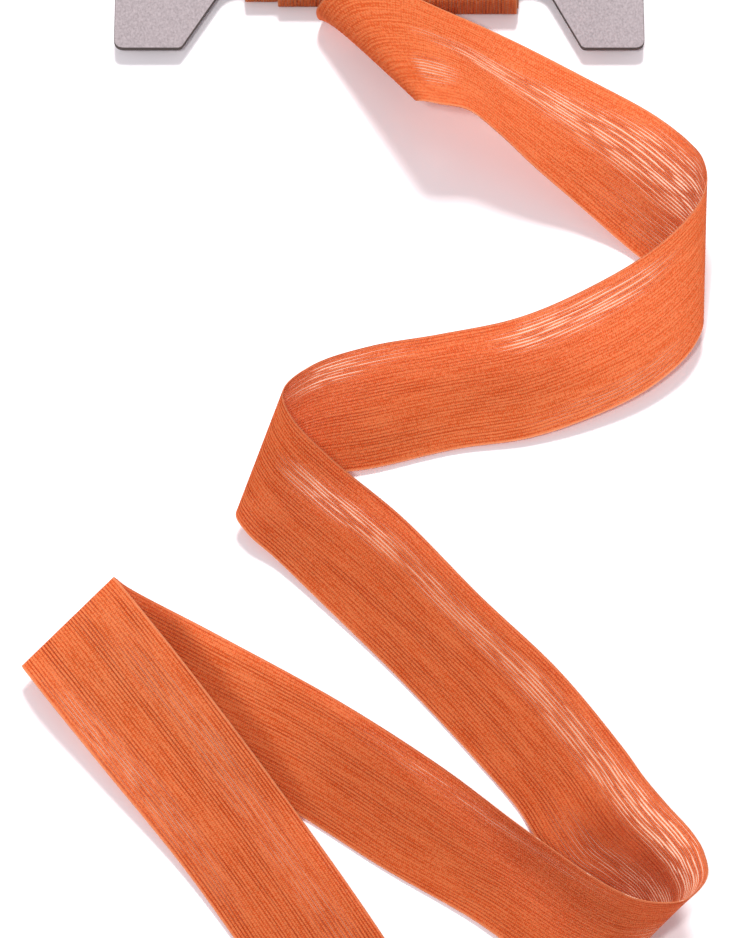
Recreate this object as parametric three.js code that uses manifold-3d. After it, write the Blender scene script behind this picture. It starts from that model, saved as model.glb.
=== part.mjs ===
// A soft woven ribbon wound on a flat notched board, with its loose end lying in a long S of standing curls.
// Millimetres, +Z up. The board lies flat, its middle over the origin, and the loose end runs toward -Y.
import * as THREE from "three";
import * as BufferGeometryUtils from "three/addons/utils/BufferGeometryUtils.js";
import Module from "manifold-3d";

const wasm = await Module();
wasm.setup();

// Driving sizes
const gap = 0.3;
const ribbonThickness = 1;
const board = {
  width: 112.5,
  height: 82.4,
  thickness: 1.2,
  cornerRadius: 2.2,
  footRadius: 0.8,
  floorRadius: 3,
};
const notch = { depth: 16, mouthLeft: -42, mouthRight: 43, floorLeft: -32.5, floorRight: 35 };
const wound = { left: -28.6, under: 2, cornerRadius: 2.6, overlap: 1 };

// Worked-out heights: the ribbon under the board carries it clear of the table
const boardBottom = wound.under + gap;
const boardTop = boardBottom + board.thickness;
const waist = board.height / 2 - notch.depth;

// The ribbon was wound in side-by-side tracks of unlike thickness
const tracks = [
  { right: -21.6, front: 3.5, above: 1.6 },
  { right: 4.4, front: 4.7, above: 2 },
  { right: 29.3, front: 6.5, above: 2.4 },
];

// One row for each place where the loose end bends, from the roll to the cut end.
// far and near are the two ends of the cross line, bow is how much its middle bellies out.
const sections = [
  { far: [-12, -32.3, 1], near: [13, -32.3, 1], bow: 0 },
  { far: [-12.6, -33, 1.8], near: [12, -39, 2], bow: 0 },
  { far: [-13.2, -33.6, 4.2], near: [9.5, -50.5, 7], bow: 0 },
  { far: [-13, -33.6, 8], near: [7.6, -61.2, 17], bow: 0 },
  { far: [-9, -31.8, 12.5], near: [9.4, -62.5, 19], bow: 0 },
  { far: [1.5, -32, 13.2], near: [12.6, -63.2, 19], bow: 0.5 },
  { far: [14.8, -36.8, 11.2], near: [18.4, -64, 18], bow: 0.5 },
  { far: [27.5, -42.3, 9.5], near: [25, -68.4, 15.5], bow: 0 },
  { far: [43, -52, 10.5], near: [31.8, -73.5, 11.5], bow: 0 },
  { far: [57.4, -62.2, 12.5], near: [41.7, -80.2, 6], bow: 0 },
  { far: [64.6, -70.6, 15.5], near: [52.2, -88.4, 2], bow: 0 },
  { far: [66.8, -75, 17], near: [61.3, -97, 2.5], bow: 0 },
  { far: [67.4, -80.8, 18], near: [66.7, -105.6, 5], bow: 0 },
  { far: [65.4, -86, 17.5], near: [64.2, -113, 5], bow: 0 },
  { far: [56.7, -95, 16], near: [55.4, -121.3, 4], bow: 0 },
  { far: [41.7, -103.7, 13.5], near: [43.5, -127.4, 3], bow: 0 },
  { far: [28.2, -108, 9.5], near: [30.6, -131.7, 2], bow: 0 },
  { far: [12.4, -110.7, 7.5], near: [15.4, -134, 1.5], bow: 0 },
  { far: [-2, -114.7, 10], near: [-1, -138.2, 1.5], bow: 0 },
  { far: [-14, -121.2, 14], near: [-18.2, -141.4, 2], bow: 0 },
  { far: [-19.5, -127.8, 16], near: [-29, -149.7, 4.5], bow: 0 },
  { far: [-18, -132.7, 15], near: [-26.8, -153.9, 4], bow: 0 },
  { far: [-10, -140.2, 11], near: [-21.1, -158.8, 2.5], bow: 0 },
  { far: [4.6, -150.8, 5], near: [-10, -170, 1.5], bow: 0 },
  { far: [20.2, -167, 2.5], near: [4, -184.6, 1], bow: 0 },
  { far: [36, -183.5, 2.5], near: [18, -200.7, 1], bow: 0 },
  { far: [48.4, -201, 4.5], near: [27.3, -212.4, 1], bow: 0 },
  { far: [52.2, -208.3, 7.5], near: [31.2, -219.2, 1.2], bow: 0 },
  { far: [56.4, -215.9, 12], near: [35.4, -225.6, 1.5], bow: 0.5 },
  { far: [60.6, -223.1, 16.5], near: [41.9, -230, 2.5], bow: 2 },
  { far: [62.6, -228.5, 19.5], near: [47.2, -233.7, 3], bow: 2 },
  { far: [63, -233.8, 20.5], near: [50, -240, 3], bow: 1 },
  { far: [59.1, -238.2, 20.5], near: [47, -245.6, 2.5], bow: 0 },
  { far: [52.2, -238.7, 20], near: [40, -248, 2], bow: 1 },
  { far: [45, -235.5, 18.5], near: [32.2, -245.6, 1.5], bow: 2.5 },
  { far: [29.3, -222, 13], near: [17.7, -235.2, 1.2], bow: 4 },
  { far: [12, -205.2, 6], near: [1, -225, 1], bow: 1.6 },
  { far: [-8, -190, 2.5], near: [-20.7, -210.7, 1], bow: 0.3 },
  { far: [-33, -175, 1.8], near: [-48.5, -197, 1.5], bow: 0 },
  { far: [-51, -165.2, 3], near: [-68.8, -184.4, 3.4], bow: 0 },
  { far: [-53.4, -163.7, 4.2], near: [-71.3, -183.3, 4.6], bow: 0 },
  { far: [-51.5, -166.4, 5.4], near: [-69.3, -186.6, 5.8], bow: 0 },
  { far: [-37, -185.4, 5], near: [-56.3, -203, 4.4], bow: 0 },
  { far: [-18.4, -211.2, 4], near: [-38.2, -225.5, 2], bow: 0 },
  { far: [-2.5, -234, 1.5], near: [-23, -247.5, 1], bow: 0 },
  { far: [11.7, -256.7, 1], near: [-9.6, -268, 1], bow: 0 },
];
const stepsPerSection = 4;
const stepsAcross = 4;
const stepsPerCorner = 8;
const mergeDistance = 1e-4;

function geometryToSolid(geometry) {
  const merged = geometry.clone();
  merged.deleteAttribute("normal");
  merged.deleteAttribute("uv");
  const closed = BufferGeometryUtils.mergeVertices(merged, mergeDistance);
  const mesh = new wasm.Mesh({
    numProp: 3,
    vertProperties: new Float32Array(closed.attributes.position.array),
    triVerts: new Uint32Array(closed.index.array),
  });
  return new wasm.Manifold(mesh);
}

function solidToGeometry(solid) {
  const mesh = solid.getMesh();
  const geometry = new THREE.BufferGeometry();
  geometry.setAttribute("position", new THREE.BufferAttribute(new Float32Array(mesh.vertProperties), 3));
  geometry.setIndex(new THREE.BufferAttribute(new Uint32Array(mesh.triVerts), 1));
  geometry.computeVertexNormals();
  return geometry;
}

// A closed outline whose corners are rounded, each corner being [x, y, radius]
function roundedOutline(corners) {
  const shape = new THREE.Shape();
  corners.forEach(([x, y, radius], index) => {
    const corner = new THREE.Vector2(x, y);
    const before = corners[(index + corners.length - 1) % corners.length];
    const after = corners[(index + 1) % corners.length];
    const start = new THREE.Vector2(before[0], before[1]).sub(corner).setLength(radius).add(corner);
    const end = new THREE.Vector2(after[0], after[1]).sub(corner).setLength(radius).add(corner);
    if (index === 0) {
      shape.moveTo(start.x, start.y);
    } else {
      shape.lineTo(start.x, start.y);
    }
    shape.quadraticCurveTo(x, y, end.x, end.y);
  });
  shape.closePath();
  return shape;
}

// The flat board: a rectangle with a wide notch in each end, which leaves four feet
function makeBoard() {
  const side = board.width / 2;
  const end = board.height / 2;
  const { cornerRadius, footRadius, floorRadius } = board;
  const nearEnd = [
    [-side, -end, cornerRadius],
    [notch.mouthLeft, -end, footRadius],
    [notch.floorLeft, -waist, floorRadius],
    [notch.floorRight, -waist, floorRadius],
    [notch.mouthRight, -end, footRadius],
    [side, -end, cornerRadius],
  ];
  const farEnd = nearEnd.map(([x, y, radius]) => [x, -y, radius]).reverse();
  const outline = roundedOutline([...nearEnd, ...farEnd]);
  const settings = { depth: board.thickness, bevelEnabled: false, curveSegments: stepsPerCorner };
  const geometry = new THREE.ExtrudeGeometry(outline, settings);
  geometry.translate(0, 0, boardBottom);
  return geometry;
}

// One track of the wound ribbon: a sleeve round the board's waist, from one X to another
function makeTrack(left, right, front, above) {
  const reach = waist + gap + front;
  const top = boardTop + gap + above;
  const radius = wound.cornerRadius;
  const sleeve = roundedOutline([
    [-reach, 0, radius],
    [reach, 0, radius],
    [reach, top, radius],
    [-reach, top, radius],
  ]);
  const inside = waist + gap;
  const slot = new THREE.Path();
  slot.moveTo(-inside, boardBottom - gap);
  slot.lineTo(-inside, boardTop + gap);
  slot.lineTo(inside, boardTop + gap);
  slot.lineTo(inside, boardBottom - gap);
  slot.closePath();
  sleeve.holes.push(slot);
  const settings = { depth: right - left, bevelEnabled: false, curveSegments: stepsPerCorner };
  const geometry = new THREE.ExtrudeGeometry(sleeve, settings);
  // The section was drawn as (y, z), so its depth is turned to run along X
  geometry.applyMatrix4(new THREE.Matrix4().set(0, 0, 1, left, 1, 0, 0, 0, 0, 1, 0, 0, 0, 0, 0, 1));
  return geometry;
}

// The tracks overlap a little, as the turns do, and are joined into the one wound form
function makeWoundRibbon() {
  let left = wound.left;
  let solid = null;
  for (const track of tracks) {
    const sleeve = geometryToSolid(makeTrack(left, track.right, track.front, track.above));
    solid = solid === null ? sleeve : solid.add(sleeve);
    left = track.right - wound.overlap;
  }
  return solidToGeometry(solid);
}

// Points of the ribbon's middle surface, row by row along it and across it, with the face direction there
function ribbonGrid() {
  const farEdge = new THREE.CatmullRomCurve3(sections.map(({ far }) => new THREE.Vector3(...far)));
  const nearEdge = new THREE.CatmullRomCurve3(sections.map(({ near }) => new THREE.Vector3(...near)));
  const last = (sections.length - 1) * stepsPerSection;
  const rows = [];
  for (let row = 0; row <= last; row++) {
    const place = row / last;
    const far = farEdge.getPoint(place);
    const near = nearEdge.getPoint(place);
    const along = farEdge.getTangent(place).add(nearEdge.getTangent(place)).normalize();
    const face = along.clone().cross(far.clone().sub(near)).normalize();
    const section = Math.min(Math.floor(row / stepsPerSection), sections.length - 2);
    const share = row / stepsPerSection - section;
    const bow = THREE.MathUtils.lerp(sections[section].bow, sections[section + 1].bow, share);
    const points = [];
    for (let column = 0; column <= stepsAcross; column++) {
      const across = column / stepsAcross;
      const belly = 4 * bow * across * (1 - across);
      points.push(near.clone().lerp(far, across).addScaledVector(face, belly));
    }
    rows.push(points);
  }
  return rows;
}

// The loose end: the middle surface thickened to both sides and closed at its edges and ends
function makeLooseEnd() {
  const rows = ribbonGrid();
  const wide = stepsAcross + 1;
  const layerSize = rows.length * wide;
  const positions = new Float32Array(layerSize * 2 * 3);
  rows.forEach((points, row) => {
    const before = rows[Math.max(row - 1, 0)];
    const after = rows[Math.min(row + 1, rows.length - 1)];
    points.forEach((point, column) => {
      const along = after[column].clone().sub(before[column]);
      const across = points[Math.min(column + 1, stepsAcross)].clone().sub(points[Math.max(column - 1, 0)]);
      const normal = along.cross(across).normalize();
      const index = row * wide + column;
      point.clone().addScaledVector(normal, ribbonThickness / 2).toArray(positions, index * 3);
      point.clone().addScaledVector(normal, -ribbonThickness / 2).toArray(positions, (layerSize + index) * 3);
    });
  });
  const triangles = [];
  const addQuad = (a, b, c, d) => triangles.push(a, b, c, a, c, d);
  for (let row = 0; row < rows.length - 1; row++) {
    for (let column = 0; column < stepsAcross; column++) {
      const a = row * wide + column;
      addQuad(a, a + wide, a + wide + 1, a + 1);
      addQuad(layerSize + a, layerSize + a + 1, layerSize + a + wide + 1, layerSize + a + wide);
    }
    const near = row * wide;
    const far = near + stepsAcross;
    addQuad(near, layerSize + near, layerSize + near + wide, near + wide);
    addQuad(far, far + wide, layerSize + far + wide, layerSize + far);
  }
  for (let column = 0; column < stepsAcross; column++) {
    const start = column;
    const end = (rows.length - 1) * wide + column;
    addQuad(start, start + 1, layerSize + start + 1, layerSize + start);
    addQuad(end, layerSize + end, layerSize + end + 1, end + 1);
  }
  const geometry = new THREE.BufferGeometry();
  geometry.setAttribute("position", new THREE.BufferAttribute(positions, 3));
  geometry.setIndex(triangles);
  geometry.computeVertexNormals();
  return geometry;
}

function makeMesh(name, geometry, color, roughness) {
  const material = new THREE.MeshStandardMaterial({ color, roughness, metalness: 0 });
  const mesh = new THREE.Mesh(geometry, material);
  mesh.name = name;
  return mesh;
}

const group = new THREE.Group();
group.add(makeMesh("card", makeBoard(), 0xbdb2b3, 0.9));
group.add(makeMesh("wound_ribbon", makeWoundRibbon(), 0xc25f2f, 0.85));
group.add(makeMesh("loose_end", makeLooseEnd(), 0xe0713f, 0.85));

export default group;
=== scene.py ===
"""A soft, semi-sheer woven ribbon wound on a notched greyboard card, its loose end lying in a long S.

The ribbon's sheets are built from one table of cross lines, and its weave from the real spacing of its yarns.
Metres, +Z up. The card lies flat over the origin, and the loose end runs toward -Y.
"""

import math
from collections import namedtuple

import bpy
import numpy as np
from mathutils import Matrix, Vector


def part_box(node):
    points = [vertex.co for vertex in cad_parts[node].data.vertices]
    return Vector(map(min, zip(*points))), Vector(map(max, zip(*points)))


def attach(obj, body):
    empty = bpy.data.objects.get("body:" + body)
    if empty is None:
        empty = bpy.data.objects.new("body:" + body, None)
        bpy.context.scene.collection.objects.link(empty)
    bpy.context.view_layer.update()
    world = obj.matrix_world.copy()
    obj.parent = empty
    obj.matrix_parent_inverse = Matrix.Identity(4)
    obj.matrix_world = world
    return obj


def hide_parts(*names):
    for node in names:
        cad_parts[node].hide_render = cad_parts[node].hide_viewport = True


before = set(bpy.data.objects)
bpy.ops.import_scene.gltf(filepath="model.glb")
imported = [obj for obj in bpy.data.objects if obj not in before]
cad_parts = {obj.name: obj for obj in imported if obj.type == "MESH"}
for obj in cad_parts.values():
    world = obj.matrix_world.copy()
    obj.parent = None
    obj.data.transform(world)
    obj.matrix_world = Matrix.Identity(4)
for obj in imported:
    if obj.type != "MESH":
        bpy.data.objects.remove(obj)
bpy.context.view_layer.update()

bl_info = {
    "name": "Card-wound ribbon",
    "version": (1, 0, 0),
    "blender": (4, 5, 0),
    "location": "View3D > Sidebar > Ribbon",
    "description": "Builds a woven ribbon wound on a notched card, with its loose end laid out",
    "category": "Object",
}

MM = 0.001

# The cloth's UV map gives each point its place in the cloth, and three numbers say how open the weave is
# there, how far its colour is scaled by painted light and shade, and how clearly the gaps between its warps
# show, partly as painted shade
WEAVE_MAP = "weave"
OPENNESS = "openness"
PAINTED_LIGHT_TONE = "dye"
GAPS = "gaps"

# Where the loose end bends: far and near are the two ends of the cross line in millimetres,
# and bow is how far its middle bellies out
Section = namedtuple("Section", "far near bow")
SECTIONS = (
    Section((-12, -27.2, 0.9), (13, -27.2, 0.9), 0),
    Section((-12, -32.3, 1), (13, -32.3, 1), 0),
    Section((-12.6, -33, 1.8), (12, -39, 2), 0),
    Section((-13.2, -33.6, 4.2), (9.5, -50.5, 7), 0),
    Section((-13, -33.6, 8), (7.6, -61.2, 17), 0),
    Section((-9, -31.8, 12.5), (9.4, -62.5, 19), 0),
    Section((1.5, -32, 13.2), (12.6, -63.2, 19), 0.5),
    Section((14.8, -36.8, 11.2), (18.4, -64, 18), 0.5),
    Section((27.5, -42.3, 9.5), (25, -68.4, 15.5), 0),
    Section((43, -52, 10.5), (31.8, -73.5, 11.5), 0),
    Section((57.4, -62.2, 12.5), (41.7, -80.2, 6), 0),
    Section((64.6, -70.6, 15.5), (52.2, -88.4, 2), 0),
    Section((66.8, -75, 17), (61.3, -97, 2.5), 0),
    Section((67.4, -80.8, 18), (66.7, -105.6, 5), 0),
    Section((65.4, -86, 17.5), (64.2, -113, 5), 0),
    Section((56.7, -95, 16), (55.4, -121.3, 4), 0),
    Section((41.7, -103.7, 13.5), (43.5, -127.4, 3), 0),
    Section((28.2, -108, 9.5), (30.6, -131.7, 2), 0),
    Section((12.4, -110.7, 7.5), (15.4, -134, 1.5), 0),
    Section((-2, -114.7, 10), (-1, -138.2, 1.5), 0),
    Section((-14, -121.2, 14), (-18.2, -141.4, 2), 0),
    Section((-19.5, -127.8, 16), (-29, -149.7, 4.5), 0),
    Section((-18, -132.7, 15), (-26.8, -153.9, 4), 0),
    Section((-10, -140.2, 11), (-21.1, -158.8, 2.5), 0),
    Section((4.6, -150.8, 5), (-10, -170, 1.5), 0),
    Section((20.2, -167, 2.5), (4, -184.6, 1), 0),
    Section((36, -183.5, 2.5), (18, -200.7, 1), 0),
    Section((48.4, -201, 4.5), (27.3, -212.4, 1), 0),
    Section((52.2, -208.3, 7.5), (31.2, -219.2, 1.2), 0),
    Section((56.4, -215.9, 12), (35.4, -225.6, 1.5), 0.5),
    Section((60.6, -223.1, 16.5), (41.9, -230, 2.5), 2),
    Section((62.6, -228.5, 19.5), (47.2, -233.7, 3), 2),
    Section((63, -233.8, 20.5), (50, -240, 3), 1),
    Section((59.1, -238.2, 20.5), (47, -245.6, 2.5), 0),
    Section((52.2, -238.7, 20), (40, -248, 2), 1),
    Section((45, -235.5, 18.5), (32.2, -245.6, 1.5), 2.5),
    Section((29.3, -222, 13), (17.7, -235.2, 1.2), 4),
    Section((12, -205.2, 6), (1, -225, 1), 1.6),
    Section((-8, -190, 2.5), (-20.7, -210.7, 1), 0.3),
    Section((-33, -175, 1.8), (-48.5, -197, 1.5), 0),
    Section((-51, -165.2, 3), (-68.8, -184.4, 3.4), 0),
    Section((-53.4, -163.7, 4.2), (-71.3, -183.3, 4.6), 0),
    Section((-51.5, -166.4, 5.4), (-69.3, -186.6, 5.8), 0),
    Section((-37, -185.4, 5), (-56.3, -203, 4.4), 0),
    Section((-18.4, -211.2, 4), (-38.2, -225.5, 2), 0),
    Section((-2.5, -234, 1.5), (-23, -247.5, 1), 0),
    Section((11.7, -256.7, 1), (-9.6, -268, 1), 0),
)

# Bands where the warps have spread and light comes through. A knot says how far along (in sections),
# how far across (0 near edge, 1 far edge), how wide to each side (across), and how open
Knot = namedtuple("Knot", "section across spread strength")
OPEN_BANDS = (
    # the patch where the ribbon turns over beside the roll
    (
        Knot(5.6, 0.29, 0.08, 0.0),
        Knot(5.9, 0.29, 0.11, 0.9),
        Knot(6.5, 0.30, 0.11, 0.8),
        Knot(7.0, 0.32, 0.08, 0.0),
    ),
    # the long band into the first bend
    (
        Knot(6.0, 0.64, 0.04, 0.0),
        Knot(7.0, 0.61, 0.07, 1.0),
        Knot(8.2, 0.60, 0.10, 1.0),
        Knot(9.2, 0.62, 0.16, 1.0),
        Knot(10.2, 0.66, 0.22, 1.0),
        Knot(11.2, 0.68, 0.25, 1.0),
        Knot(12.0, 0.71, 0.25, 0.9),
        Knot(12.8, 0.75, 0.22, 0.5),
        Knot(13.4, 0.78, 0.20, 0.0),
    ),
    # the foot of the first bend
    (
        Knot(9.8, 0.25, 0.10, 0.0),
        Knot(10.8, 0.25, 0.16, 0.3),
        Knot(11.6, 0.28, 0.18, 0.4),
        Knot(12.4, 0.30, 0.12, 0.0),
    ),
    # the upper edge between the first and second bends
    (
        Knot(14.4, 0.82, 0.06, 0.0),
        Knot(15.2, 0.82, 0.10, 0.8),
        Knot(16.2, 0.83, 0.13, 1.0),
        Knot(16.9, 0.83, 0.12, 1.0),
        Knot(17.5, 0.82, 0.05, 0.0),
    ),
    # the lower edge between them
    (
        Knot(13.9, 0.10, 0.07, 0.0),
        Knot(14.8, 0.11, 0.09, 0.4),
        Knot(16.2, 0.11, 0.08, 0.35),
        Knot(17.2, 0.10, 0.06, 0.0),
    ),
    # inside the second bend
    (
        Knot(18.2, 0.92, 0.05, 0.0),
        Knot(19.0, 0.88, 0.08, 0.5),
        Knot(19.8, 0.86, 0.11, 0.9),
        Knot(20.6, 0.86, 0.10, 0.2),
    ),
    # the long band from the second bend to the third
    (
        Knot(22.0, 0.66, 0.05, 0.0),
        Knot(22.7, 0.68, 0.10, 1.0),
        Knot(23.6, 0.72, 0.10, 1.0),
        Knot(24.4, 0.76, 0.09, 0.8),
        Knot(25.3, 0.76, 0.09, 0.8),
        Knot(26.2, 0.76, 0.12, 1.0),
        Knot(27.0, 0.76, 0.14, 1.0),
        Knot(28.0, 0.80, 0.13, 1.0),
        Knot(29.4, 0.82, 0.15, 1.0),
        Knot(31.0, 0.82, 0.16, 1.0),
        Knot(32.4, 0.82, 0.16, 0.8),
        Knot(33.4, 0.84, 0.12, 0.0),
    ),
    # the standing curl at the third bend
    (
        Knot(27.0, 0.30, 0.10, 0.0),
        Knot(28.6, 0.24, 0.16, 0.3),
        Knot(30.5, 0.28, 0.20, 0.6),
        Knot(32.0, 0.36, 0.24, 0.9),
        Knot(33.2, 0.42, 0.22, 0.8),
        Knot(34.0, 0.44, 0.20, 0.0),
    ),
    # the upper edge after the curl
    (
        Knot(34.6, 0.90, 0.04, 0.0),
        Knot(35.6, 0.88, 0.05, 0.4),
        Knot(36.8, 0.87, 0.05, 0.4),
        Knot(38.0, 0.86, 0.05, 0.0),
    ),
    # the last length over the flat fold
    (
        Knot(41.2, 0.62, 0.25, 0.0),
        Knot(42.2, 0.70, 0.20, 0.05),
        Knot(43.2, 0.78, 0.12, 0.35),
        Knot(43.8, 0.73, 0.12, 0.35),
        Knot(46.0, 0.70, 0.14, 0.2),
    ),
    # its outer edge
    (
        Knot(42.0, 0.10, 0.06, 0.0),
        Knot(42.8, 0.13, 0.10, 0.6),
        Knot(43.6, 0.16, 0.12, 0.5),
        Knot(44.6, 0.16, 0.08, 0.0),
    ),
)

# Bands of painted shade, where the cloth's colour is darkened to stand in for shade, laid out in the same way
PAINTED_SHADE_BANDS = (
    # between the slits of the first bend
    (
        Knot(9.0, 0.60, 0.16, 0.0),
        Knot(10.6, 0.60, 0.40, 0.5),
        Knot(11.8, 0.50, 0.55, 1.0),
        Knot(12.8, 0.52, 0.55, 0.9),
        Knot(13.3, 0.70, 0.30, 0.0),
    ),
    # the soft valley between the first and second bends
    (
        Knot(15.8, 0.45, 0.20, 0.0),
        Knot(16.6, 0.48, 0.28, 0.22),
        Knot(17.4, 0.50, 0.28, 0.18),
        Knot(18.4, 0.50, 0.20, 0.0),
    ),
    # the hollow inside the curl
    (
        Knot(27.4, 0.48, 0.20, 0.0),
        Knot(28.8, 0.46, 0.28, 0.7),
        Knot(30.4, 0.50, 0.30, 1.0),
        Knot(31.8, 0.52, 0.30, 1.0),
        Knot(33.2, 0.54, 0.20, 0.3),
    ),
    # beside the flat fold
    (
        Knot(37.4, -0.10, 0.10, 0.0),
        Knot(37.8, 0.04, 0.12, 0.35),
        Knot(38.3, 0.36, 0.13, 0.6),
        Knot(38.8, 0.64, 0.13, 0.75),
        Knot(39.3, 0.86, 0.12, 0.9),
        Knot(40.2, 1.00, 0.08, 0.7),
    ),
)

# How the cloth's colour is scaled by painted light and shade (lighter where a stretch catches more light,
# darker where it lies in shade), and how clearly the gaps between warps show, partly as painted shade, at
# places along the sections
Stretch = namedtuple("Stretch", "section dye gaps")
STRETCHES = (
    Stretch(0, 1.02, 0.15),
    Stretch(6, 1.1, 0.15),
    Stretch(9, 1.16, 0.3),
    Stretch(11, 1.32, 0.6),
    Stretch(12.6, 1.32, 0.5),
    Stretch(13.6, 1.38, 0.2),
    Stretch(15, 1.38, 0.2),
    Stretch(16.5, 1.28, 0.3),
    Stretch(18, 1.14, 0.5),
    Stretch(19.5, 1.06, 0.8),
    Stretch(22, 1.13, 0.8),
    Stretch(24, 1.01, 0.8),
    Stretch(28, 0.98, 0.8),
    Stretch(30, 0.97, 1.1),
    Stretch(33, 0.97, 1.1),
    Stretch(34.5, 1.05, 0.4),
    Stretch(37.6, 0.95, 0.7),
    Stretch(39, 1.25, 0.7),
    Stretch(41.2, 1.25, 1.0),
    Stretch(42.5, 1.25, 1.0),
    Stretch(44, 1.14, 0.9),
    Stretch(46, 1.0, 0.9),
)

# The side-by-side tracks of the wound turns: where each lies along X, how far the turns have built up
# in front of the card's waist and above it, and how many turns show at its sides, all in millimetres
Track = namedtuple("Track", "left right front above turns")
TRACKS = (
    Track(-28.6, -3.6, 3.5, 1.6, 4),
    Track(-21.6, 4.4, 4.7, 2.0, 5),
    Track(4.1, 29.3, 6.5, 2.4, 6),
)

# Each pattern of the cloth: how long and wide its marks are along and across the ribbon, in millimetres,
# and how finely its noise is broken up
Marks = namedtuple("Marks", "along across detail")
WEAVE_MARKS = {
    # about three warps drift together
    "wander": Marks(16.67, 2, 1),
    # the gaps between about four warps show or close up together
    "zone": Marks(22.22, 2.5, 1),
    # the marks are one warp wide, so that each slit is broken on its own
    "dash": Marks(8.333, 0.6667, 1),
    # streaks of deeper and lighter colour lie along each warp
    "streak": Marks(9.091, 0.5263, 2),
    # the yarn's fibres, drawn far coarser than real ones so that they show
    "grain": Marks(0.5882, 0.4762, 1),
}

# Each pattern of the board: how large its marks are along X, Y and Z, in millimetres, and its noise's detail
BOARD_MARKS = {
    # fibres of the pulp, drawn far coarser than real ones so that they show
    "fibre": ((0.3846, 0.6667, 0.3846), 4),
    # specks of recycled print and bark
    "speck": ((0.5263, 0.5263, 0.5263), 6),
    # the pressed layers, which show at the cut edges
    "layers": ((5, 5, 0.2), 3),
}


class RibbonSizes(bpy.types.PropertyGroup):
    """Sizes of the ribbon and its weave"""

    width: bpy.props.FloatProperty(
        name="Width", description="Edge to edge", default=25 * MM, unit="LENGTH"
    )
    thickness: bpy.props.FloatProperty(
        name="Thickness", description="Through the middle of a rib", default=0.24 * MM, unit="LENGTH"
    )
    groove: bpy.props.FloatProperty(
        name="Groove", description="How deep the cloth dips between two ribs", default=0.03 * MM,
        unit="LENGTH"
    )
    ribs: bpy.props.IntProperty(
        name="Ribs", description="Bundles of warp across the width", default=38
    )
    # Drawn a little coarser than real weft yarns are likely to be, so that they show
    weft_pitch: bpy.props.FloatProperty(
        name="Weft pitch", description="From one weft yarn to the next", default=0.45 * MM, unit="LENGTH"
    )
    rest_drop: bpy.props.FloatProperty(
        name="Rest drop", description="How much lower the thin cloth lies than its solid", default=0.5 * MM,
        unit="LENGTH"
    )
    rows: bpy.props.IntProperty(
        name="Rows", description="Cross lines of the loose end's mesh", default=560
    )


class FinishColours(bpy.types.PropertyGroup):
    """Colours of the yarn and the board"""

    # Light yarn is also the painted highlight on each warp's bead, besides the lighter streaks of the yarn
    yarn_light: bpy.props.StringProperty(
        name="Light yarn", description="Crests of the yarn, sRGB hex", default="#F79155"
    )
    yarn_mid: bpy.props.StringProperty(
        name="Mid yarn", description="The cloth at large, sRGB hex", default="#DA6124"
    )
    # Dark yarn is partly the thinner yarn in the gaps and partly painted shade in the grooves between the
    # ribs
    yarn_dark: bpy.props.StringProperty(
        name="Dark yarn", description="Yarn between the ribs, sRGB hex", default="#8A2E0B"
    )
    yarn_through: bpy.props.StringProperty(
        name="Yarn against the light", description="Light that comes through the yarn, sRGB hex",
        default="#D88C70"
    )
    # The selvedge's lighter colour is partly a painted highlight, where the edge catches the light
    yarn_edge: bpy.props.StringProperty(
        name="Selvedge", description="The turned yarn at both edges, sRGB hex", default="#F09C68"
    )
    # The slit colour is painted light: it stands in for light shining through the slit
    slit_painted_light: bpy.props.StringProperty(
        name="Slit", description="The few pale fibres left in a slit, sRGB hex", default="#FFE4C8"
    )
    board_face: bpy.props.StringProperty(
        name="Board face", description="The card's flat faces, sRGB hex", default="#988D8F"
    )
    board_edge: bpy.props.StringProperty(
        name="Board edge", description="The card's cut edges, sRGB hex", default="#4A403D"
    )


class StageSettings(bpy.types.PropertyGroup):
    """Camera, floor and light"""

    elevation: bpy.props.FloatProperty(
        name="Elevation", description="The camera's angle above the table", default=math.radians(65),
        subtype="ANGLE"
    )
    distance: bpy.props.FloatProperty(
        name="Distance", description="From the camera to where it aims", default=1.0, unit="LENGTH"
    )
    aim: bpy.props.FloatVectorProperty(
        name="Aim", description="The point on the table that the camera aims at",
        default=(-0.9 * MM, -138 * MM, 0), subtype="TRANSLATION"
    )
    lens: bpy.props.FloatProperty(
        name="Lens", description="Focal length in millimetres on a 36 mm sensor", default=188
    )
    key_watts: bpy.props.FloatProperty(
        name="Key light", description="Power of the soft light behind the roll, in watts", default=30
    )
    front_watts: bpy.props.FloatProperty(
        name="Front light", description="Power of the small light above the camera, in watts", default=4.4
    )
    fill: bpy.props.FloatProperty(
        name="Fill", description="Strength of the light from all round", default=0.58
    )


def linear(hex_colour):
    """An sRGB hex colour as the linear red, green, blue and alpha that Blender's sockets take."""
    parts = [int(hex_colour[i : i + 2], 16) / 255 for i in (1, 3, 5)]
    bright = [c / 12.92 if c <= 0.04045 else ((c + 0.055) / 1.055) ** 2.4 for c in parts]
    return (*bright, 1.0)


def add_node(tree, kind, inputs=(), **settings):
    """Adds a node, sets its properties, and gives each input of its own a value or a link."""
    node = tree.nodes.new(kind)
    for name, value in settings.items():
        setattr(node, name, value)
    for key, value in dict(inputs).items():
        if isinstance(value, bpy.types.NodeSocket):
            tree.links.new(value, node.inputs[key])
        else:
            node.inputs[key].default_value = value
    return node


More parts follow.
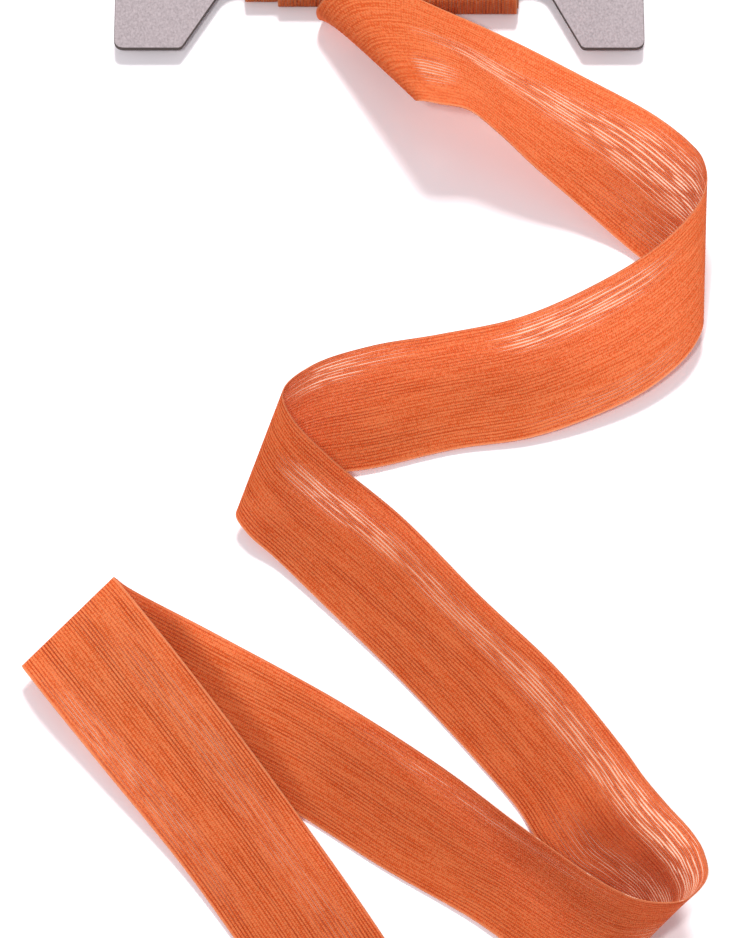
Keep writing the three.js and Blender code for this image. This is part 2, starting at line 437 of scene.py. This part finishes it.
def catmull_rom(points, places):
    """Points of the centripetal Catmull-Rom curve through points, at places that count in points."""
    points = np.asarray(points, float)
    padded = np.vstack([2 * points[0] - points[1], points, 2 * points[-1] - points[-2]])
    start = np.minimum(places.astype(int), len(points) - 2)
    share = (places - start)[:, None]
    before, first, second, after = (padded[start + i] for i in range(4))
    span_before, span, span_after = (
        np.sqrt(np.linalg.norm(b - a, axis=1))[:, None]
        for a, b in ((before, first), (first, second), (second, after))
    )
    rise = second - first
    leave = (first - before) / span_before - (second - before) / (span_before + span) + rise / span
    arrive = rise / span - (after - first) / (span + span_after) + (after - second) / span_after
    leave = leave * span
    arrive = arrive * span
    return (
        first
        + leave * share
        + (3 * rise - 2 * leave - arrive) * share**2
        + (leave + arrive - 2 * rise) * share**3
    )


def unit(vectors):
    """The vectors, each made one long."""
    return vectors / np.linalg.norm(vectors, axis=-1, keepdims=True)


def spread_places(count):
    """Places along the sections for count rows, close together where the ribbon bends sharply."""
    fine_steps = 4000
    fine = np.linspace(0, len(SECTIONS) - 1, fine_steps)
    middle = (
        catmull_rom([s.far for s in SECTIONS], fine) + catmull_rom([s.near for s in SECTIONS], fine)
    ) / 2
    step = np.linalg.norm(np.diff(middle, axis=0), axis=1)
    heading = unit(np.diff(middle, axis=0))
    turn = np.r_[0, np.arccos(np.clip((heading[1:] * heading[:-1]).sum(axis=1), -1, 1))]
    # A bend of 0.16 radians gets as many rows as 2.2 mm of length
    mm_per_row = 2.2
    turn_per_row = 0.16
    cost = np.r_[0, np.cumsum(step / mm_per_row + turn / turn_per_row)]
    return np.interp(np.linspace(0, cost[-1], count), cost, fine)


def loose_surface(places, across):
    """The loose end's middle surface in metres: one row of points for each place, near edge to far edge."""
    far = catmull_rom([s.far for s in SECTIONS], places)
    near = catmull_rom([s.near for s in SECTIONS], places)
    bow = np.interp(places, range(len(SECTIONS)), [s.bow for s in SECTIONS])
    along = unit(np.gradient((far + near) / 2, axis=0))
    face = unit(np.cross(along, far - near))
    line = near[:, None] + (far - near)[:, None] * across[None, :, None]
    belly = 4 * bow[:, None] * across * (1 - across)
    return (line + face[:, None] * belly[..., None]) * MM


def surface_normals(points):
    """The unit normal at each point of a grid of points."""
    along = np.gradient(points, axis=0)
    across = np.gradient(points, axis=1)
    return unit(np.cross(along, across))


def band_amount(bands, places, across):
    """How strongly the bands act at each point of the loose end, from 0 to 1: evenly in a band's middle,
    and fading at its sides."""
    total = np.zeros((len(places), len(across)))
    for band in bands:
        sections = [k.section for k in band]
        centre = np.interp(places, sections, [k.across for k in band])[:, None]
        spread = np.interp(places, sections, [k.spread for k in band])[:, None]
        strength = np.interp(places, sections, [k.strength for k in band], left=0, right=0)[:, None]
        distance = (across[None] - centre) / spread
        total = np.maximum(total, strength * np.exp(-(distance**4)))
    return total


def rib_profile(across, sizes):
    """Half the cloth's thickness at each place across: full on a rib, less in the grooves."""
    wave = 0.5 - 0.5 * np.cos(2 * np.pi * across * sizes.ribs)
    return sizes.thickness / 2 - sizes.groove * (1 - wave)


def mesh_object(name, vertices, faces, material):
    """A smooth-shaded mesh object made of the given vertices and faces."""
    mesh = bpy.data.meshes.new(name)
    mesh.from_pydata([tuple(v) for v in vertices], [], [tuple(f) for f in faces])
    mesh.materials.append(material)
    mesh.shade_smooth()
    thing = bpy.data.objects.new(name, mesh)
    bpy.context.scene.collection.objects.link(thing)
    return thing


def set_weave_map(thing, lengths_and_widths, **numbers):
    """Gives each vertex its place in the cloth, in metres along and across, and the named numbers."""
    mesh = thing.data
    corners = np.empty(len(mesh.loops), dtype=int)
    mesh.loops.foreach_get("vertex_index", corners)
    layer = mesh.uv_layers.new(name=WEAVE_MAP)
    layer.data.foreach_set("uv", np.asarray(lengths_and_widths, float)[corners].ravel())
    for name, values in numbers.items():
        attribute = mesh.attributes.new(name=name, type="FLOAT", domain="POINT")
        attribute.data.foreach_set("value", np.asarray(values, float).ravel())


def grid_faces(rows, columns, first, flip=False):
    """Four-sided faces of a grid of rows by columns vertices, whose first vertex has the number first."""
    start = (np.arange(rows - 1)[:, None] * columns + np.arange(columns - 1)).ravel() + first
    quads = np.stack([start, start + columns, start + columns + 1, start + 1], axis=1)
    return quads[:, ::-1] if flip else quads


def strip_faces(top, bottom):
    """Four-sided faces that close the gap between two lines of vertex numbers."""
    return np.stack([top[:-1], bottom[:-1], bottom[1:], top[1:]], axis=1)


def build_loose_end(sizes, material):
    """The free length of ribbon: a thin closed sheet whose two faces both carry the ribs."""
    columns = sizes.ribs * 2 + 1
    across = np.linspace(0, 1, columns)
    places = spread_places(sizes.rows)
    middle = loose_surface(places, across)
    middle[..., 2] -= sizes.rest_drop
    normals = surface_normals(middle)
    half = rib_profile(across, sizes)[None, :, None]
    top = middle + normals * half
    bottom = middle - normals * half
    count = sizes.rows * columns
    vertices = np.concatenate([top.reshape(-1, 3), bottom.reshape(-1, 3)])
    numbers = np.arange(count).reshape(sizes.rows, columns)
    faces = np.concatenate(
        [
            grid_faces(sizes.rows, columns, 0),
            grid_faces(sizes.rows, columns, count, flip=True),
            strip_faces(numbers[:, 0], numbers[:, 0] + count)[:, ::-1],
            strip_faces(numbers[:, -1], numbers[:, -1] + count),
            strip_faces(numbers[0], numbers[0] + count),
            strip_faces(numbers[-1], numbers[-1] + count)[:, ::-1],
        ]
    )
    thing = mesh_object("loose_end_cloth", vertices, faces, material)
    centre_line = middle[:, columns // 2]
    length = np.r_[0, np.cumsum(np.linalg.norm(np.diff(centre_line, axis=0), axis=1))]
    lengthways = np.repeat(length[:, None], columns, axis=1)
    widthways = np.repeat(across[None] * sizes.width, sizes.rows, axis=0)
    places_in_cloth = np.stack([lengthways, widthways], axis=-1).reshape(-1, 2)
    stretch_sections = [s.section for s in STRETCHES]
    # Painted light and shade scale the cloth's colour along the ribbon, as the stretches give
    dye = np.interp(places, stretch_sections, [s.dye for s in STRETCHES])
    gaps = np.interp(places, stretch_sections, [s.gaps for s in STRETCHES])
    # The share of the colour's lightness that the middle of a band of painted shade takes away
    painted_shade_depth = 0.48
    dye = dye[:, None] * (1 - painted_shade_depth * band_amount(PAINTED_SHADE_BANDS, places, across))
    numbers_by_name = {
        OPENNESS: np.tile(band_amount(OPEN_BANDS, places, across).ravel(), 2),
        PAINTED_LIGHT_TONE: np.tile(dye.ravel(), 2),
        GAPS: np.tile(np.repeat(gaps, columns), 2),
    }
    set_weave_map(thing, np.tile(places_in_cloth, (2, 1)), **numbers_by_name)
    return thing, length[-1]


def turn_path(reach, top, bottom, radius, steps):
    """A rounded rectangle round the card's waist, as (y, z) points with their outward directions."""
    corners = (
        (reach - radius, bottom + radius, -math.pi / 2),
        (reach - radius, top - radius, 0),
        (-reach + radius, top - radius, math.pi / 2),
        (-reach + radius, bottom + radius, math.pi),
    )
    points = []
    outward = []
    for y, z, start in corners:
        for angle in np.linspace(start, start + math.pi / 2, steps):
            direction = (math.cos(angle), math.sin(angle))
            points.append((y + radius * direction[0], z + radius * direction[1]))
            outward.append(direction)
    return np.array(points), np.array(outward)


def turn_section(left, right, sizes, ribbed):
    """The section of one turn, as (x, height out of the turn) points, clockwise from its left edge."""
    if ribbed:
        across = np.linspace(0, 1, sizes.ribs * 2 + 1)
        height = rib_profile(across, sizes) + sizes.thickness / 2
    else:
        plain_points = 5
        pressed = 0.9
        across = np.linspace(0, 1, plain_points)
        height = np.full(plain_points, sizes.thickness * pressed)
    upper = np.stack([left + (right - left) * across, height], axis=1)
    lower = np.array([[right, 0.0], [left, 0.0]])
    return np.concatenate([upper, lower]), across


def build_turn(left, right, path, outward, sizes, ribbed):
    """One closed turn of ribbon: its section swept round the card's waist.

    Returns its vertices, its faces, and each vertex's place in the cloth."""
    section, across = turn_section(left, right, sizes, ribbed)
    around = len(path)
    wide = len(section)
    base = np.stack([np.zeros(around), path[:, 0], path[:, 1]], axis=1)
    out = np.stack([np.zeros(around), outward[:, 0], outward[:, 1]], axis=1)
    vertices = base[:, None] + out[:, None] * section[None, :, 1, None]
    vertices[..., 0] += section[None, :, 0]
    numbers = np.arange(around * wide).reshape(around, wide)
    numbers = np.vstack([numbers, numbers[:1]])
    numbers = np.hstack([numbers, numbers[:, :1]])
    faces = np.stack(
        [numbers[:-1, :-1], numbers[:-1, 1:], numbers[1:, 1:], numbers[1:, :-1]], axis=-1
    )
    length = np.r_[0, np.cumsum(np.linalg.norm(np.diff(path, axis=0), axis=1))]
    widths = np.r_[across, 1, 0] * sizes.width
    places = np.stack(np.broadcast_arrays(length[:, None], widths[None]), axis=-1)
    return vertices.reshape(-1, 3), faces.reshape(-1, 4), places.reshape(-1, 2)


def build_wound_turns(sizes, material):
    """The wound ribbon: for each track, turn upon turn with slightly uneven edges, the outer one ribbed."""
    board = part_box("card")
    # From the middle of the card to the foot of its notches
    waist = 25.2 * MM
    slack = 0.3 * MM
    # How far the turns build up under the card
    depth_below = 2 * MM
    # How far an inner turn's edges scatter, in millimetres, and how many thicknesses in the turn lies
    scatter = 0.45
    sinking = 1.3
    # The radius of the turns' bends at the card, and how much it grows outward, in millimetres
    inner_bend = 1.1
    bend_growth = 1.3
    steps = 10
    chance = np.random.default_rng(7)
    vertices = []
    faces = []
    places = []
    first = 0
    for track in TRACKS:
        for turn in range(1, track.turns + 1):
            outermost = turn == track.turns
            share = turn / track.turns
            inset = sizes.thickness if outermost else sinking * sizes.thickness
            reach = waist + slack + track.front * MM * share - inset
            top = board[1][2] + slack + track.above * MM * share - inset
            bottom = board[0][2] - slack - depth_below * share + inset
            shift = chance.uniform(-scatter, scatter, 2) * MM * (0 if outermost else 1)
            left = track.left * MM + shift[0]
            right = track.right * MM + shift[1]
            radius = (inner_bend + bend_growth * share) * MM
            path, outward = turn_path(reach, top, bottom, radius, steps)
            turn_vertices, turn_faces, turn_places = build_turn(left, right, path, outward, sizes, outermost)
            vertices.append(turn_vertices)
            faces.append(turn_faces + first)
            places.append(turn_places)
            first += len(turn_vertices)
    thing = mesh_object("wound_turns", np.concatenate(vertices), np.concatenate(faces), material)
    # Wound under tension, the cloth is a little open; its colour is darkened as painted shade, and its gaps
    # show clearly, partly as painted shade
    amounts = {OPENNESS: 0.2, PAINTED_LIGHT_TONE: 0.88, GAPS: 1.2}
    numbers_by_name = {name: np.full(first, amount) for name, amount in amounts.items()}
    set_weave_map(thing, np.concatenate(places), **numbers_by_name)
    return thing


def woven_ribbon_material(name, sizes, colours):
    """Plain-woven soft yarn cloth, matt and semi-sheer: beaded warps with a painted highlight on each bead,
    darker gaps between them that come and go, partly painted shade, slits of light where the warps have
    spread, painted pale as painted light, pinholes, lighter selvedges that are partly a painted highlight,
    and painted light and shade along the ribbon."""
    material = bpy.data.materials.new(name)
    material.use_nodes = True
    tree = material.node_tree
    tree.nodes.clear()
    place = add_node(tree, "ShaderNodeUVMap", uv_map=WEAVE_MAP).outputs["UV"]
    split = add_node(tree, "ShaderNodeSeparateXYZ", {0: place})
    openness = add_node(tree, "ShaderNodeAttribute", attribute_name=OPENNESS).outputs["Fac"]
    dye = add_node(tree, "ShaderNodeAttribute", attribute_name=PAINTED_LIGHT_TONE).outputs["Fac"]
    gaps = add_node(tree, "ShaderNodeAttribute", attribute_name=GAPS).outputs["Fac"]
    marks = {}
    for mark_name, mark in WEAVE_MARKS.items():
        per_metre = (1 / (mark.along * MM), 1 / (mark.across * MM), 1)
        spaced = add_node(tree, "ShaderNodeMapping", {"Vector": place, "Scale": per_metre}).outputs[0]
        marks[mark_name] = add_node(
            tree,
            "ShaderNodeTexNoise",
            {"Vector": spaced, "Scale": 1.0, "Detail": mark.detail},
            noise_dimensions="2D",
        ).outputs["Fac"]

    # The yarns wander a little, so slow noise moves the warps by up to a quarter of their pitch
    drift = 0.5
    wander_shift = add_node(
        tree, "ShaderNodeMath", {0: marks["wander"], 1: drift, 2: -drift / 2}, operation="MULTIPLY_ADD"
    ).outputs[0]
    warps_per_metre = sizes.ribs / sizes.width
    warp_count = add_node(
        tree,
        "ShaderNodeMath",
        {0: split.outputs["Y"], 1: warps_per_metre, 2: wander_shift},
        operation="MULTIPLY_ADD",
    ).outputs[0]
    # Each warp goes over where its neighbours go under, so every second one is half a beat out
    warp_number = add_node(tree, "ShaderNodeMath", {0: warp_count}, operation="FLOOR").outputs[0]
    half_beat = add_node(tree, "ShaderNodeMath", {0: warp_number, 1: 0.5}, operation="MULTIPLY").outputs[0]
    weft_count = add_node(
        tree,
        "ShaderNodeMath",
        {0: split.outputs["X"], 1: 1 / sizes.weft_pitch, 2: half_beat},
        operation="MULTIPLY_ADD",
    ).outputs[0]
    # Distance from the nearest gap between warps, and from the nearest weft yarn, both 0 to 0.5
    from_groove = add_node(
        tree, "ShaderNodeMath", {0: warp_count, 1: 0.5}, operation="PINGPONG"
    ).outputs[0]
    from_weft = add_node(
        tree, "ShaderNodeMath", {0: weft_count, 1: 0.5}, operation="PINGPONG"
    ).outputs[0]

    # Gaps show in some stretches of the cloth and close up in others
    zone_show = add_node(
        tree,
        "ShaderNodeMapRange",
        {"Value": marks["zone"], "From Min": 0.38, "From Max": 0.62, "To Min": 0.3, "To Max": 0.85},
    ).outputs[0]
    gap_strength = add_node(tree, "ShaderNodeMath", {0: zone_show, 1: gaps}, operation="MULTIPLY").outputs[0]
    gap_show = add_node(
        tree, "ShaderNodeMath", {0: gap_strength, 1: openness}, operation="MAXIMUM"
    ).outputs[0]

    # A slit starts and ends raggedly, is at most 0.31 of the pitch to each side, and is crossed by the wefts
    dash_share = add_node(
        tree,
        "ShaderNodeMapRange",
        {"Value": marks["dash"], "From Min": 0.38, "From Max": 0.58, "To Min": 0.2},
    ).outputs[0]
    spread = add_node(tree, "ShaderNodeMath", {0: openness, 1: dash_share}, operation="MULTIPLY").outputs[0]
    slit_width = add_node(
        tree, "ShaderNodeMath", {0: spread, 1: 0.3, 2: 0.01}, operation="MULTIPLY_ADD"
    ).outputs[0]
    slit_inner = add_node(tree, "ShaderNodeMath", {0: slit_width, 1: 0.7}, operation="MULTIPLY").outputs[0]
    slit = add_node(
        tree,
        "ShaderNodeMapRange",
        {"Value": from_groove, "From Min": slit_inner, "From Max": slit_width, "To Min": 1.0, "To Max": 0.0},
    ).outputs[0]
    least_gap = add_node(
        tree, "ShaderNodeMath", {0: spread, 1: 0.6, 2: 0.2}, operation="MULTIPLY_ADD"
    ).outputs[0]
    weft_gap = add_node(
        tree,
        "ShaderNodeMapRange",
        {"Value": from_weft, "From Min": 0.10, "From Max": 0.26, "To Min": least_gap},
    ).outputs[0]
    slit_hole = add_node(tree, "ShaderNodeMath", {0: slit, 1: weft_gap}, operation="MULTIPLY").outputs[0]

    # Only a share of each slit is clear, and the rest is painted pale as painted light that stands in for
    # light shining through it; the yarn has pinholes
    clear_share = 0.35
    slit_clear = add_node(
        tree, "ShaderNodeMath", {0: slit_hole, 1: clear_share}, operation="MULTIPLY"
    ).outputs[0]
    pinhole = add_node(
        tree,
        "ShaderNodeMapRange",
        {"Value": marks["grain"], "From Min": 0.60, "From Max": 0.75, "To Min": 0.03, "To Max": 0.14},
    ).outputs[0]
    hole = add_node(tree, "ShaderNodeMath", {0: slit_clear, 1: pinhole}, operation="MAXIMUM").outputs[0]
    # The selvedge is a denser yarn along each edge, with no holes, that ends 0.15 to 0.5 mm in
    from_edge = add_node(
        tree, "ShaderNodeMath", {0: split.outputs["Y"], 1: sizes.width / 2}, operation="PINGPONG"
    ).outputs[0]
    inside = add_node(
        tree,
        "ShaderNodeMapRange",
        {"Value": from_edge, "From Min": 0.15 * MM, "From Max": 0.5 * MM},
    ).outputs[0]
    inner_hole = add_node(tree, "ShaderNodeMath", {0: hole, 1: inside}, operation="MULTIPLY").outputs[0]
    cover = add_node(tree, "ShaderNodeMath", {0: 1.0, 1: inner_hole}, operation="SUBTRACT").outputs[0]

    # A painted highlight, a bead of light, stands on each warp where it goes over a weft
    crest = add_node(
        tree,
        "ShaderNodeMapRange",
        {"Value": from_groove, "From Min": 0.05, "From Max": 0.30},
        interpolation_type="SMOOTHSTEP",
    ).outputs[0]
    bead = add_node(tree, "ShaderNodeMath", {0: from_weft, 1: crest}, operation="MULTIPLY").outputs[0]
    mottle = add_node(
        tree, "ShaderNodeMath", {0: marks["streak"], 1: marks["grain"]}, operation="ADD"
    ).outputs[0]
    lightness = add_node(
        tree, "ShaderNodeMath", {0: bead, 1: 1.1, 2: mottle}, operation="MULTIPLY_ADD"
    ).outputs[0]
    tone = add_node(
        tree, "ShaderNodeMapRange", {"Value": lightness, "From Min": 0.92, "From Max": 1.4}
    ).outputs[0]
    yarn = add_node(
        tree,
        "ShaderNodeMix",
        {"Factor": tone, 6: linear(colours.yarn_mid), 7: linear(colours.yarn_light)},
        data_type="RGBA",
    ).outputs[2]
    # The dark gaps between the warps are partly thinner yarn and partly painted shade in the grooves between
    # the ribs
    valley = add_node(tree, "ShaderNodeMath", {0: 1.0, 1: crest}, operation="SUBTRACT").outputs[0]
    gap_dark = add_node(tree, "ShaderNodeMath", {0: valley, 1: gap_show}, operation="MULTIPLY").outputs[0]
    gap_inside = add_node(tree, "ShaderNodeMath", {0: gap_dark, 1: inside}, operation="MULTIPLY").outputs[0]
    gapped = add_node(
        tree,
        "ShaderNodeMix",
        {"Factor": gap_inside, 6: yarn, 7: linear(colours.yarn_dark)},
        data_type="RGBA",
    ).outputs[2]
    # The selvedge's lighter colour is partly a painted highlight, where the edge catches the light
    edged = add_node(
        tree, "ShaderNodeMix", {"Factor": inside, 6: linear(colours.yarn_edge), 7: gapped}, data_type="RGBA"
    ).outputs[2]
    # Painted shade makes the cloth redder, and painted light makes it paler and yellower: green and blue
    # change more than red does
    painted_light_green = add_node(tree, "ShaderNodeMath", {0: dye, 1: 1.4}, operation="POWER").outputs[0]
    painted_light_blue = add_node(tree, "ShaderNodeMath", {0: dye, 1: 1.8}, operation="POWER").outputs[0]
    painted_light_colour = add_node(tree, "ShaderNodeCombineColor", {0: dye, 1: painted_light_green, 2: painted_light_blue}).outputs[0]
    with_painted_light = add_node(
        tree,
        "ShaderNodeMix",
        {"Factor": 1.0, 6: edged, 7: painted_light_colour},
        data_type="RGBA",
        blend_type="MULTIPLY",
    ).outputs[2]
    slit_painted_light = linear(colours.slit_painted_light)
    colour = add_node(
        tree, "ShaderNodeMix", {"Factor": slit_hole, 6: with_painted_light, 7: slit_painted_light}, data_type="RGBA"
    ).outputs[2]
    through_yarn = add_node(
        tree,
        "ShaderNodeMix",
        {"Factor": gap_inside, 6: linear(colours.yarn_through), 7: linear(colours.yarn_mid)},
        data_type="RGBA",
    ).outputs[2]
    through_colour = add_node(
        tree, "ShaderNodeMix", {"Factor": slit_hole, 6: through_yarn, 7: slit_painted_light}, data_type="RGBA"
    ).outputs[2]

    gap_depth = add_node(
        tree, "ShaderNodeMath", {0: marks["grain"], 1: gap_inside}, operation="SUBTRACT"
    ).outputs[0]
    height = add_node(tree, "ShaderNodeMath", {0: bead, 1: gap_depth}, operation="ADD").outputs[0]
    bump = add_node(
        tree, "ShaderNodeBump", {"Height": height, "Strength": 0.6, "Distance": 0.1 * MM}
    ).outputs[0]
    cloth = add_node(
        tree,
        "ShaderNodeBsdfPrincipled",
        {
            "Base Color": colour,
            "Roughness": 0.85,
            "Specular IOR Level": 0.2,
            "Normal": bump,
            "Sheen Weight": 0.1,
            "Sheen Roughness": 0.5,
            "Sheen Tint": linear(colours.yarn_light),
        },
    )
    # Light crosses both faces of the thin closed sheet, so each face lets more through than the cloth does
    through = add_node(tree, "ShaderNodeBsdfTranslucent", {"Color": through_colour, "Normal": bump})
    through_share = 0.6
    lit = add_node(
        tree, "ShaderNodeMixShader", {0: through_share, 1: cloth.outputs[0], 2: through.outputs[0]}
    ).outputs[0]
    clear = add_node(tree, "ShaderNodeBsdfTransparent").outputs[0]
    surface = add_node(tree, "ShaderNodeMixShader", {0: cover, 1: clear, 2: lit}).outputs[0]
    add_node(tree, "ShaderNodeOutputMaterial", {"Surface": surface})
    return material


def greyboard_material(colours):
    """Recycled greyboard, die cut: matt, finely speckled with fibres, darker and layered at its edges."""
    material = bpy.data.materials.new("recycled_greyboard")
    material.use_nodes = True
    tree = material.node_tree
    tree.nodes.clear()
    place = add_node(tree, "ShaderNodeTexCoord")
    marks = {}
    for mark_name, (lengths, detail) in BOARD_MARKS.items():
        per_metre = [1 / (length * MM) for length in lengths]
        spaced = add_node(
            tree, "ShaderNodeMapping", {"Vector": place.outputs["Object"], "Scale": per_metre}
        ).outputs[0]
        marks[mark_name] = add_node(
            tree, "ShaderNodeTexNoise", {"Vector": spaced, "Scale": 1.0, "Detail": detail}
        ).outputs["Fac"]
    mottle = add_node(
        tree, "ShaderNodeMath", {0: marks["fibre"], 1: marks["speck"]}, operation="ADD"
    ).outputs[0]
    shade = add_node(
        tree,
        "ShaderNodeMapRange",
        {"Value": mottle, "From Min": 0.7, "From Max": 1.3, "To Min": 0.78, "To Max": 1.2},
    ).outputs[0]
    face = add_node(
        tree,
        "ShaderNodeMix",
        {"Factor": 1.0, 6: linear(colours.board_face), 7: shade},
        data_type="RGBA",
        blend_type="MULTIPLY",
    ).outputs[2]
    layer_shade = add_node(
        tree,
        "ShaderNodeMapRange",
        {"Value": marks["layers"], "From Min": 0.3, "From Max": 0.7, "To Min": 0.6, "To Max": 1.25},
    ).outputs[0]
    edge = add_node(
        tree,
        "ShaderNodeMix",
        {"Factor": 1.0, 6: linear(colours.board_edge), 7: layer_shade},
        data_type="RGBA",
        blend_type="MULTIPLY",
    ).outputs[2]
    # The flat faces look up or down, and the cut edges look sideways
    upright = add_node(tree, "ShaderNodeSeparateXYZ", {0: place.outputs["Normal"]}).outputs["Z"]
    flatness = add_node(tree, "ShaderNodeMath", {0: upright}, operation="ABSOLUTE").outputs[0]
    is_face = add_node(
        tree, "ShaderNodeMapRange", {"Value": flatness, "From Min": 0.75, "From Max": 0.95}
    ).outputs[0]
    colour = add_node(
        tree, "ShaderNodeMix", {"Factor": is_face, 6: edge, 7: face}, data_type="RGBA"
    ).outputs[2]
    bump = add_node(
        tree, "ShaderNodeBump", {"Height": mottle, "Strength": 0.5, "Distance": 0.08 * MM}
    ).outputs[0]
    board = add_node(
        tree, "ShaderNodeBsdfPrincipled", {"Base Color": colour, "Roughness": 0.9, "Normal": bump}
    ).outputs[0]
    add_node(tree, "ShaderNodeOutputMaterial", {"Surface": board})
    return material


def select_only(thing):
    """Leaves thing as the one selected and active object."""
    bpy.ops.object.select_all(action="DESELECT")
    thing.select_set(True)
    bpy.context.view_layer.objects.active = thing


class RIBBON_OT_card(bpy.types.Operator):
    """Make the die-cut greyboard card"""

    bl_idname = "ribbon.card"
    bl_label = "Card"

    def execute(self, context):
        select_only(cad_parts["card"])
        bpy.ops.object.duplicate()
        card = context.active_object
        card.name = "greyboard_card"
        bpy.ops.object.mode_set(mode="EDIT")
        bpy.ops.mesh.select_all(action="SELECT")
        bpy.ops.mesh.remove_doubles(threshold=0.01 * MM)
        bpy.ops.mesh.dissolve_limited(angle_limit=math.radians(1))
        bpy.ops.object.mode_set(mode="OBJECT")
        # Handling has softened the die-cut edges a little
        bevel = card.modifiers.new("worn_edge", "BEVEL")
        bevel.width = 0.18 * MM
        bevel.segments = 2
        bevel.limit_method = "ANGLE"
        bevel.angle_limit = math.radians(60)
        bpy.ops.object.modifier_apply(modifier=bevel.name)
        bpy.ops.object.shade_smooth_by_angle(angle=math.radians(35))
        card.data.materials.clear()
        card.data.materials.append(greyboard_material(context.scene.finish_colours))
        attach(card, "root")
        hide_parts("card")
        return {"FINISHED"}


class RIBBON_OT_wound(bpy.types.Operator):
    """Wind the turns of ribbon round the card's waist"""

    bl_idname = "ribbon.wound"
    bl_label = "Wound turns"

    def execute(self, context):
        sizes = context.scene.ribbon_sizes
        material = woven_ribbon_material("plain_woven_ribbon_wound", sizes, context.scene.finish_colours)
        turns = build_wound_turns(sizes, material)
        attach(turns, "root")
        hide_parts("wound_ribbon")
        return {"FINISHED"}


class RIBBON_OT_loose_end(bpy.types.Operator):
    """Lay the loose end out in its long S"""

    bl_idname = "ribbon.loose_end"
    bl_label = "Loose end"

    def execute(self, context):
        sizes = context.scene.ribbon_sizes
        material = woven_ribbon_material("plain_woven_ribbon_loose", sizes, context.scene.finish_colours)
        cloth, length = build_loose_end(sizes, material)
        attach(cloth, "root")
        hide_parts("loose_end")
        return {"FINISHED"}


class RIBBON_OT_stage(bpy.types.Operator):
    """Set the table, the light and the camera"""

    bl_idname = "ribbon.stage"
    bl_label = "Stage"

    def execute(self, context):
        settings = context.scene.stage_settings
        # Where the lights stand from the aim and how wide they are, in metres
        key_offset, key_size = (0.02, 1.02, 1.25), 0.36
        front_offset, front_size = (-0.2, -0.42, 1.05), 0.12
        table_side = 6
        bpy.ops.object.select_all(action="DESELECT")
        aim = Vector(settings.aim)
        bpy.ops.mesh.primitive_plane_add(size=table_side, location=(aim.x, aim.y, 0))
        floor = context.active_object
        floor.name = "table"
        floor.data.materials.append(self.table_material())
        self.add_light("key", key_offset, aim, key_size, settings.key_watts)
        self.add_light("front", front_offset, aim, front_size, settings.front_watts)
        self.fill_world(context.scene, settings.fill)
        self.add_camera(context.scene, settings, aim)
        context.scene.view_settings.view_transform = "Standard"
        return {"FINISHED"}

    def table_material(self):
        """Plain white matt laminate."""
        material = bpy.data.materials.new("white_table")
        material.use_nodes = True
        shader = material.node_tree.nodes["Principled BSDF"]
        shader.inputs["Base Color"].default_value = linear("#F6F2F4")
        shader.inputs["Roughness"].default_value = 0.7
        return material

    def add_light(self, name, offset, aim, size, watts):
        """A square soft light at an offset from the aim, turned to face it."""
        data = bpy.data.lights.new(name, "AREA")
        data.energy = watts
        data.size = size
        light = bpy.data.objects.new(name, data)
        bpy.context.scene.collection.objects.link(light)
        light.location = aim + Vector(offset)
        light.rotation_euler = (-Vector(offset)).to_track_quat("-Z", "Y").to_euler()

    def fill_world(self, scene, strength):
        """A cool white studio all round, as the shadows show."""
        world = bpy.data.worlds.new("studio")
        world.use_nodes = True
        background = world.node_tree.nodes["Background"]
        background.inputs["Color"].default_value = linear("#F6F3FA")
        background.inputs["Strength"].default_value = strength
        scene.world = world

    def add_camera(self, scene, settings, aim):
        """The camera stands in front of the table, and looks along +Y and down."""
        sensor_mm = 36
        data = bpy.data.cameras.new("camera")
        data.lens = settings.lens
        data.sensor_width = sensor_mm
        camera = bpy.data.objects.new("camera", data)
        scene.collection.objects.link(camera)
        back = Vector((0, -math.cos(settings.elevation), math.sin(settings.elevation)))
        camera.location = aim + back * settings.distance
        camera.rotation_euler = (math.pi / 2 - settings.elevation, 0, 0)
        scene.camera = camera


class RIBBON_PT_panel(bpy.types.Panel):
    """Lists the ribbon's settings and its pieces"""

    bl_idname = "RIBBON_PT_panel"
    bl_label = "Ribbon"
    bl_space_type = "VIEW_3D"
    bl_region_type = "UI"
    bl_category = "Ribbon"

    def draw(self, context):
        for group in (context.scene.ribbon_sizes, context.scene.finish_colours, context.scene.stage_settings):
            for name in group.bl_rna.properties.keys():
                if name not in ("rna_type", "name"):
                    self.layout.prop(group, name)
        for operator in STEPS:
            self.layout.operator(operator.bl_idname)


STEPS = (RIBBON_OT_card, RIBBON_OT_wound, RIBBON_OT_loose_end, RIBBON_OT_stage)
CLASSES = (RibbonSizes, FinishColours, StageSettings, *STEPS, RIBBON_PT_panel)


def register():
    for each in CLASSES:
        bpy.utils.register_class(each)
    bpy.types.Scene.ribbon_sizes = bpy.props.PointerProperty(type=RibbonSizes)
    bpy.types.Scene.finish_colours = bpy.props.PointerProperty(type=FinishColours)
    bpy.types.Scene.stage_settings = bpy.props.PointerProperty(type=StageSettings)


def unregister():
    del bpy.types.Scene.stage_settings
    del bpy.types.Scene.finish_colours
    del bpy.types.Scene.ribbon_sizes
    for each in reversed(CLASSES):
        bpy.utils.unregister_class(each)


def main():
    register()
    bpy.ops.ribbon.card()
    bpy.ops.ribbon.wound()
    bpy.ops.ribbon.loose_end()
    bpy.ops.ribbon.stage()
    bpy.context.view_layer.update()


if __name__ == "__main__":
    main()
